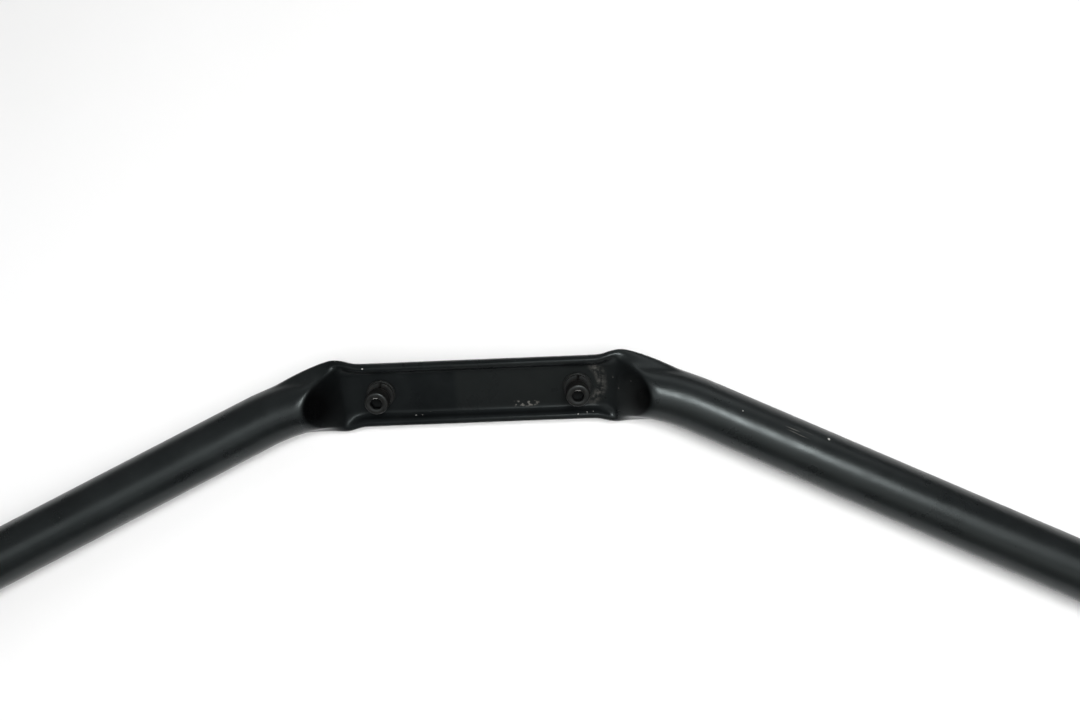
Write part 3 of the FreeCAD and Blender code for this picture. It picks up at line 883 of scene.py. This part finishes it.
def stud_cutter_profile():
    """A hole with a small chamfer at both faces of the plate."""
    top, chamfer = PLATE_THICKNESS + PAD_HEIGHT, 0.5
    hole = STUD_HOLE_RADIUS
    return [
        (0, -1), (hole + chamfer + 1, -1), (hole, chamfer), (hole, top - chamfer),
        (hole + chamfer + 1, top + 1), (0, top + 1),
    ]


# ---- the weld beads ----
RIPPLE_PITCH = 1.9


def make_weld(name, side, start, end, seed):
    """A rippled bead between two points on the plate's axes, its foot on the plate."""
    start, end = Vector(start), Vector(end)
    run = end - start
    length = run.length
    along = run.normalized()
    across = UP.cross(along)
    total = length + 2 * BEAD_RADIUS
    count = int(total / 0.22)
    around = 40
    rings = []
    for i in range(count + 1):
        s = -BEAD_RADIUS + total * i / count
        over = max(-s, s - length, 0.0)
        cap = math.sqrt(max(1 - (over / BEAD_RADIUS) ** 2, 0.0004))
        ring = []
        for k in range(around):
            turn = 2 * math.pi * k / around
            crescent = 1.1 * (1 - abs(math.sin(turn)))
            phase = (s + crescent + 0.25 * math.sin(s * 0.9 + seed)) / RIPPLE_PITCH
            ripple = abs(math.sin(math.pi * phase)) ** 0.7
            swell = 1 + 0.035 * math.sin(s * 0.55 + seed * 2.1)
            radius = BEAD_RADIUS * cap * min((0.90 + 0.10 * ripple) * swell, 1.0)
            side_step = radius * math.cos(turn)
            rise = max(radius * math.sin(turn), -BEAD_RISE)
            ring.append((start + along * s + across * side_step + UP * rise) * MM)
        rings.append(np.array(ring))
    weld = skin_object(name, rings)
    bmesh_clean(weld)
    place(weld, plate_frame(side))
    outward(weld)
    smooth_by_angle(weld, 60)
    return weld


# ---- the screws and their rings ----
def knurled_radius(turn, radius, depth):
    """A straight knurl: shallow flutes between flat-topped ridges."""
    wave = math.cos(turn * 54)
    return radius - depth * (0.5 - 0.5 * max(min(wave * 1.6, 1.0), -1.0))


def make_screw(name, side):
    """A socket head cap screw with a knurled head, a thin neck and a rolled thread."""
    columns = 432
    # The head's outline, as (radius, height above its seat)
    foot = [(4.2, 0.0), (5.7, 0.0), (6.05, 0.1), (6.3, 0.35), (6.42, 0.8)]
    grip = [(HEAD_RADIUS, 1.2), (HEAD_RADIUS, 6.6)]
    crown = [(6.42, 6.9), (6.36, 7.3), (6.12, 7.72), (5.75, 7.94), (5.3, 8.0), (4.6, 8.0)]
    crown += [(4.15, 7.96), (3.95, 7.86)]
    rings = []
    for radius, height in foot + grip + crown:
        depth = 0.16 if (radius, height) in grip else 0.0
        ring = []
        for i in range(columns):
            turn = 2 * math.pi * i / columns
            r = knurled_radius(turn, radius, depth)
            ring.append(Vector((r * math.cos(turn), r * math.sin(turn), SHANK_LENGTH + height)) * MM)
        rings.append(np.array(ring))
    head = skin_object(name, rings)
    for cutter in socket_cutters():
        cut_away(head, cutter)
    smooth_by_angle(head, 28)
    joined = join([head, make_shank(name + "_shank"), make_neck()], name)
    place(joined, screw_frame(side, HEAD_SEAT - SHANK_LENGTH))
    return joined


def socket_cutters():
    """The hexagonal socket, its floor a shallow cone, and the chamfer round its mouth."""
    reach = SOCKET_FLATS / 2 / math.cos(math.pi / 6)
    top = SHANK_LENGTH + HEAD_HEIGHT
    above, chamfer = top + 1, top - 0.5
    hexagon = [(0, above), (reach, above), (reach, top - SOCKET_DEPTH + 0.6), (0, top - SOCKET_DEPTH)]
    mouth = [(0, above), (reach + 1.15, above), (reach - 0.35, chamfer), (0, chamfer)]
    return turned("hexagon", hexagon, 6), turned("mouth", mouth, 64)


def make_neck():
    """The thin neck between thread and head, flared to the shank's full size under the head."""
    flare, sunk = SHANK_LENGTH - 0.6, SHANK_LENGTH + 0.2
    profile = [(0, THREAD_LENGTH), (NECK_RADIUS, THREAD_LENGTH), (NECK_RADIUS, flare)]
    profile += [(SHANK_RADIUS, SHANK_LENGTH), (SHANK_RADIUS, sunk), (0, sunk)]
    return turned("neck", profile, 64)


def make_shank(name):
    """The threaded end, one helical groove cut round it, with a chamfered tip."""
    columns = 48
    per_pitch = 14
    rings = []
    count = int(THREAD_LENGTH / THREAD_PITCH * per_pitch)
    for k in range(count + 1):
        height = THREAD_LENGTH * k / count
        tip = min(SHANK_RADIUS - 0.9 + height, SHANK_RADIUS)
        run_out = min(max((THREAD_LENGTH - height) / 0.6, 0.0), 1.0)
        limit = NECK_RADIUS + (SHANK_RADIUS - NECK_RADIUS) * run_out
        ring = []
        for i in range(columns):
            turn = 2 * math.pi * i / columns
            phase = (height / THREAD_PITCH - i / columns) % 1.0
            flank = min(max(abs(phase - 0.5) * 2 * 1.25 - 0.12, 0.0), 1.0)
            r = min(SHANK_RADIUS - THREAD_DEPTH * flank, tip, limit)
            ring.append(Vector((r * math.cos(turn), r * math.sin(turn), height)) * MM)
        rings.append(np.array(ring))
    shank = skin_object(name, rings)
    smooth_by_angle(shank, 40)
    return shank


def join(objects, name):
    """Joins meshes, all with their origins at 0, into one object."""
    work = bmesh.new()
    for obj in objects:
        work.from_mesh(obj.data)
    mesh = bpy.data.meshes.new(name)
    work.to_mesh(mesh)
    work.free()
    for obj in objects:
        bpy.data.objects.remove(obj)
    joined = bpy.data.objects.new(name, mesh)
    bpy.context.scene.collection.objects.link(joined)
    return joined


def make_spring_washer(name, side):
    """A split ring of square wire that climbs a little round its turn, with slanted ends."""
    climb = 0.22
    thick = SPRING_WASHER_THICKNESS - climb
    half_gap = math.asin(SPRING_WASHER_GAP / 2 / (SPRING_WASHER_RADIUS - 1))
    steps = 120
    edge = 0.28
    middle = (SPRING_WASHER_RADIUS + SPRING_WASHER_BORE) / 2
    half = (SPRING_WASHER_RADIUS - SPRING_WASHER_BORE) / 2
    corners = [(half - edge, thick / 2 - edge), (-half + edge, thick / 2 - edge)]
    corners += [(-half + edge, -thick / 2 + edge), (half - edge, -thick / 2 + edge)]
    section = []
    for c, (x, z) in enumerate(corners):
        for t in arc_steps(4):
            turn = t + c * math.pi / 2
            section.append((x + edge * math.cos(turn), z + edge * math.sin(turn)))
    rings = []
    for i in range(steps + 1):
        share = i / steps
        turn = math.pi / 2 + half_gap + (2 * math.pi - 2 * half_gap) * share
        centre_z = thick / 2 + climb * share
        end_lean = 0.5 * math.exp(-share * 24) + 0.5 * math.exp(-(1 - share) * 24)
        ring = []
        for x, z in section:
            lean = turn - z * math.tan(math.radians(SPRING_WASHER_SLANT)) * end_lean * 2 / middle
            r = middle + x
            ring.append(Vector((r * math.cos(lean), r * math.sin(lean), centre_z + z)) * MM)
        rings.append(np.array(ring))
    washer = skin_object(name, rings)
    smooth_by_angle(washer, 35)
    place(washer, screw_frame(side, SPRING_WASHER_SEAT))
    return washer


def make_flat_washer(name, side):
    """A punched washer: rolled over on its top edge, crisp below."""
    bore, rim, top = FLAT_WASHER_BORE, FLAT_WASHER_RADIUS, FLAT_WASHER_THICKNESS
    profile = [(bore + 0.12, 0), (rim - 0.15, 0), (rim, 0.15), (rim, top - 0.5)]
    profile += corner((rim - 0.5, top - 0.5), 0.5, 1, 1, 5)[1:]
    profile += corner((bore + 0.35, top - 0.35), 0.35, -1, 1, 4, upwards_first=True)
    profile += [(bore, 0.12)]
    washer = turned(name, profile, 128)
    place(washer, screw_frame(side, FLAT_WASHER_SEAT))
    return washer


def make_retainer(name, side):
    """A moulded nylon ring with a stepped rim and rounded edges."""
    bore, rim, top = RETAINER_BORE, RETAINER_RADIUS, RETAINER_THICKNESS
    step, edge = 1.2, 0.25
    profile = [(bore + edge, 0), (rim - step - edge, 0), (rim - step, edge), (rim - step, 0.9)]
    profile += [(rim - edge, 0.9), (rim, 0.9 + edge), (rim, top - edge), (rim - edge, top)]
    profile += [(bore + edge, top), (bore, top - edge), (bore, edge)]
    ring = turned(name, profile, 96)
    place(ring, screw_frame(side, RETAINER_SEAT))
    return ring


# ---- putting the brace together ----
tube_paint = tube_paint_material("satin_black_paint")
plate_paint = black_paint("plate_black_paint")
weld_paint = black_paint("weld_black_paint")
screw_steel = dark_steel("screw_black_oxide", OXIDE, OXIDE_WORN, 0.30, 0.44, sockets=True)
washer_steel = dark_steel("washer_phosphate", OXIDE, OXIDE_WORN, 0.42, 0.58)
nylon = black_nylon("retainer_black_nylon")

give(make_tube(), tube_paint, "root", "brace_tube")
bead_level = PLATE_THICKNESS + BEAD_RISE
flank_start = END_TO_TOWER + END_CORNER_RADIUS + BEAD_INSET
flank_end = END_TO_TOWER + END_FLAT_LENGTH - BEAD_RADIUS
toe_reach = OVAL_HALF_WIDTH - END_CORNER_RADIUS - BEAD_INSET
for side_name, side in SIDES:
    plate = make_plate(side_name + "_tower_plate_skin", side)
    give(plate, plate_paint, "root", side_name + "_tower_plate")
    for weld_name, hand in (("front", 1), ("rear", -1)):
        flank = hand * OVAL_HALF_WIDTH
        weld = make_weld(
            f"{side_name}_{weld_name}_weld_skin", side, (flank_start, flank, bead_level),
            (flank_end, flank, bead_level), side + hand * 2,
        )
        give(weld, weld_paint, "root", f"{side_name}_{weld_name}_weld")
    toe = make_weld(
        side_name + "_toe_weld_skin", side, (END_TO_TOWER, -toe_reach, bead_level),
        (END_TO_TOWER, toe_reach, bead_level), side,
    )
    give(toe, weld_paint, "root", side_name + "_toe_weld")
    screw = side_name + "_bulkhead_screw"
    give(make_screw(screw + "_skin", side), screw_steel, screw, screw)
    washer = side_name + "_spring_washer"
    give(make_spring_washer(washer + "_skin", side), washer_steel, washer, washer)
    washer = side_name + "_flat_washer"
    give(make_flat_washer(washer + "_skin", side), washer_steel, washer, washer)
    retainer = side_name + "_screw_retainer"
    give(make_retainer(retainer + "_skin", side), nylon, retainer, retainer)

# ---- the floor, the light and the camera ----
FLOOR_GAP = 0.0005


def make_floor():
    bpy.ops.mesh.primitive_plane_add(size=12, location=(0, 0, -FLOOR_GAP))
    floor = bpy.context.object
    floor.name = "studio_floor"
    floor.data.materials.append(floor_material())


def make_light(name, size, strength, spot, target):
    light = bpy.data.lights.new(name, "AREA")
    light.shape = "RECTANGLE"
    light.size, light.size_y = size
    light.energy = strength
    obj = bpy.data.objects.new(name, light)
    bpy.context.scene.collection.objects.link(obj)
    obj.location = spot
    obj.rotation_euler = (Vector(target) - Vector(spot)).to_track_quat("-Z", "Y").to_euler()


def make_world(strength):
    """A dim, even room, darker near the horizon."""
    world = bpy.data.worlds.new("studio")
    world.use_nodes = True
    tree = world.node_tree
    background = tree.nodes["Background"]
    background.inputs["Strength"].default_value = strength
    coords = tree.nodes.new("ShaderNodeTexCoord")
    split = tree.nodes.new("ShaderNodeSeparateXYZ")
    ramp = tree.nodes.new("ShaderNodeValToRGB")
    ramp.color_ramp.elements[0].position = 0.15
    ramp.color_ramp.elements[0].color = (0.25, 0.25, 0.25, 1.0)
    ramp.color_ramp.elements[1].position = 0.75
    ramp.color_ramp.elements[1].color = (0.98, 1.0, 1.0, 1.0)
    tree.links.new(coords.outputs["Generated"], split.inputs["Vector"])
    tree.links.new(split.outputs["Z"], ramp.inputs["Fac"])
    tree.links.new(ramp.outputs["Color"], background.inputs["Color"])
    bpy.context.scene.world = world


CAMERA_FROM_MIDDLE = Vector((44.66, -96.21, 431.47)) * MM
CAMERA_FORWARD = Vector((-0.02188, 0.25567, -0.96652))
CAMERA_ROLL = math.radians(-7.02)
CAMERA_LENS = 26.67


def make_camera():
    data = bpy.data.cameras.new("camera")
    data.lens = CAMERA_LENS
    data.sensor_width = 36.0
    data.clip_start = 0.01
    camera = bpy.data.objects.new("camera", data)
    bpy.context.scene.collection.objects.link(camera)
    right = CAMERA_FORWARD.cross(UP).normalized()
    up = right.cross(CAMERA_FORWARD).normalized()
    turn = Matrix((right, up, -CAMERA_FORWARD)).transposed().to_4x4()
    roll = Matrix.Rotation(CAMERA_ROLL, 4, "Z")
    camera.matrix_world = Matrix.Translation(AXIS_ORIGIN + CAMERA_FROM_MIDDLE) @ turn @ roll
    bpy.context.scene.camera = camera


make_floor()
make_light("overhead", (2.9, 0.7), 10, (0.1, -0.45, 1.35), (0.0, -0.1, 0.0))
make_light("right_key", (0.55, 0.35), 4, (0.38, -0.09, 1.3), (0.2, 0.0, 0.0))
make_light("corner_key", (0.32, 0.28), 9, (0.19, -0.04, 1.3), (0.12, 0.0, 0.0))
make_light("back", (2.8, 0.9), 10, (0.4, 1.9, 1.3), (0.1, 0.2, 0.0))
make_light("front", (2.4, 0.6), 4, (0.7, -1.5, 1.6), (0.3, 0.0, 0.0))
make_world(0.30)
make_camera()
bpy.context.scene.view_settings.view_transform = "Standard"
